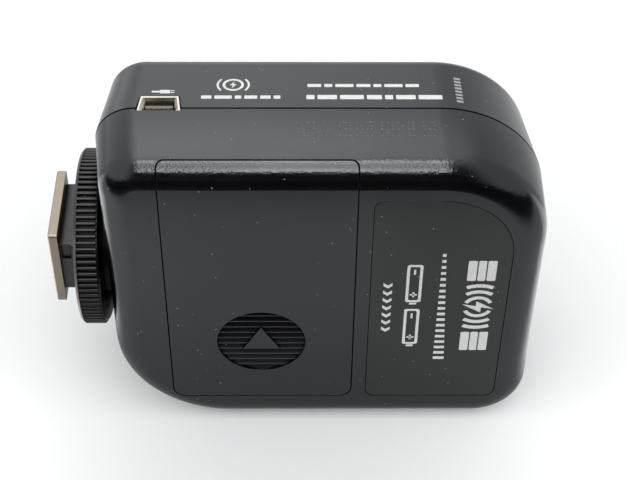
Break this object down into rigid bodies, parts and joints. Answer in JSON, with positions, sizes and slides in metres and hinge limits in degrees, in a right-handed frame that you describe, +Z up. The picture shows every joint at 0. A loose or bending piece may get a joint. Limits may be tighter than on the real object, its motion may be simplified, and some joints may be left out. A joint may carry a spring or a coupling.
{
  "type": "wireless flash trigger",
  "caption": "Radio flash trigger for a camera hot shoe: black two-shell case with sliding battery door, inset label panel, knurled lock ring, metal foot, display and keys.",
  "frame": {"origin": "centre of the foot's underside, where it sits on the shoe", "axes": "+Z up from the foot to the top end, +Y towards the subject (battery door and label), +X to the operator's right (service port), -Y the display side"},
  "size_m": [0.072, 0.0362, 0.0959],
  "materials": {
    "case_plastic": "fine matte grain",
    "label_film": "satin",
    "ring_plastic": "satin, knurled",
    "foot_plastic": "satin",
    "foot_metal": "warm nickel, brushed",
    "port_metal": "bright",
    "port_plastic": "satin",
    "contact_gold": "polished",
    "spring_steel": "bright nickel",
    "screw_steel": "dark zinc",
    "board_green": "solder mask",
    "chip_black": "matte",
    "shield_tin": "tinned",
    "window_clear": "polished acrylic",
    "lcd_grey": "polished",
    "guide_white": "gloss",
    "frame_white": "satin",
    "foam_black": "foam",
    "key_grey": "satin",
    "switch_black": "satin",
    "cell_jacket": "gloss jacket",
    "cable_white": "satin",
    "led_yellow": "gloss"
  },
  "bodies": {
    "case": {"front_cover": "case_plastic", "rear_cover": "case_plastic", "label_plate": "label_film", "foot_plate": "foot_metal", "foot_block": "foot_plastic", "foot_screws": "screw_steel", "contact_board": "board_green", "foot_cable": "cable_white", "centre_spring": "spring_steel", "cell_lower": "cell_jacket", "cell_upper": "cell_jacket", "positive_contact": "spring_steel", "negative_contact": "spring_steel", "bridge_contact": "spring_steel", "main_board": "board_green", "display_board": "board_green", "board_connector": "switch_black", "rf_shield": "shield_tin", "rf_chip": "chip_black", "mcu_chip": "chip_black", "antenna": "contact_gold", "lcd_frame": "frame_white", "lcd_glass": "lcd_grey", "light_guide": "guide_white", "display_gasket": "foam_black", "display_window": "window_clear", "tact_bodies": "switch_black", "status_light_pipe": "guide_white", "status_led": "led_yellow", "power_switch_body": "switch_black", "usb_shell": "port_metal", "usb_tongue": "port_plastic", "usb_contacts": "contact_gold", "case_screws": "screw_steel", "board_screws": "screw_steel", "spring_left": "spring_steel", "spring_right": "spring_steel", "spring_front": "spring_steel"},
    "battery_door": {"battery_door": "case_plastic"},
    "washer": {"clamp_washer": "foot_plastic"},
    "ring": {"lock_ring": "ring_plastic"},
    "power_knob": {"power_knob": "key_grey"},
    "centre_pin": {"centre_pin": "contact_gold"},
    "key_mode": {"key_mode": "key_grey", "plunger_mode": "frame_white"},
    "key_select": {"key_select": "key_grey", "plunger_select": "frame_white"},
    "key_plus": {"key_plus": "key_grey", "plunger_plus": "frame_white"},
    "key_minus": {"key_minus": "key_grey", "plunger_minus": "frame_white"},
    "key_light": {"key_light": "key_grey", "plunger_light": "frame_white"},
    "key_test": {"key_test": "key_grey", "plunger_test": "frame_white"},
    "data_pin_left": {"data_pin_left": "contact_gold"},
    "data_pin_right": {"data_pin_right": "contact_gold"},
    "data_pin_front": {"data_pin_front": "contact_gold"}
  },
  "joints": [
    {"name": "battery_door_slide", "type": "slide", "parent": "case", "child": "battery_door", "axis": [1, 0, 0], "range_m": [0, 0.066]},
    {"name": "ring_drop", "type": "slide", "parent": "case", "child": "washer", "axis": [0, 0, 1], "range_m": [-0.0016, 0]},
    {"name": "ring_turn", "type": "hinge", "parent": "washer", "child": "ring", "pos_m": [0, 0, 0.0079], "axis": [0, 0, 1], "range_deg": [-576, 0]},
    {"name": "power_slide", "type": "slide", "parent": "case", "child": "power_knob", "axis": [0, 0, 1], "range_m": [0, 0.004]},
    {"name": "key_mode_press", "type": "slide", "parent": "case", "child": "key_mode", "axis": [0, 1, 0], "range_m": [0, 0.0005], "stiffness_N_per_m": 2000},
    {"name": "key_select_press", "type": "slide", "parent": "case", "child": "key_select", "axis": [0, 1, 0], "range_m": [0, 0.0005], "stiffness_N_per_m": 2000},
    {"name": "key_plus_press", "type": "slide", "parent": "case", "child": "key_plus", "axis": [0, 1, 0], "range_m": [0, 0.0005], "stiffness_N_per_m": 2000},
    {"name": "key_minus_press", "type": "slide", "parent": "case", "child": "key_minus", "axis": [0, 1, 0], "range_m": [0, 0.0005], "stiffness_N_per_m": 2000},
    {"name": "key_light_press", "type": "slide", "parent": "case", "child": "key_light", "axis": [0, 1, 0], "range_m": [0, 0.0005], "stiffness_N_per_m": 2000},
    {"name": "key_test_press", "type": "slide", "parent": "case", "child": "key_test", "axis": [0, 1, 0], "range_m": [0, 0.0005], "stiffness_N_per_m": 2000},
    {"name": "centre_pin_press", "type": "slide", "parent": "case", "child": "centre_pin", "axis": [0, 0, 1], "range_m": [0, 0.0008], "stiffness_N_per_m": 400, "deforming": ["centre_spring"]},
    {"name": "data_pin_left_press", "type": "slide", "parent": "case", "child": "data_pin_left", "axis": [0, 0, 1], "range_m": [0, 0.0008], "stiffness_N_per_m": 400, "deforming": ["spring_left"]},
    {"name": "data_pin_right_press", "type": "slide", "parent": "case", "child": "data_pin_right", "axis": [0, 0, 1], "range_m": [0, 0.0008], "stiffness_N_per_m": 400, "deforming": ["spring_right"]},
    {"name": "data_pin_front_press", "type": "slide", "parent": "case", "child": "data_pin_front", "axis": [0, 0, 1], "range_m": [0, 0.0008], "stiffness_N_per_m": 400, "deforming": ["spring_front"]}
  ],
  "couplings": [
    {"joint": "ring_drop", "follows": "ring_turn", "m_per_rad": 0.00015915}
  ]
}
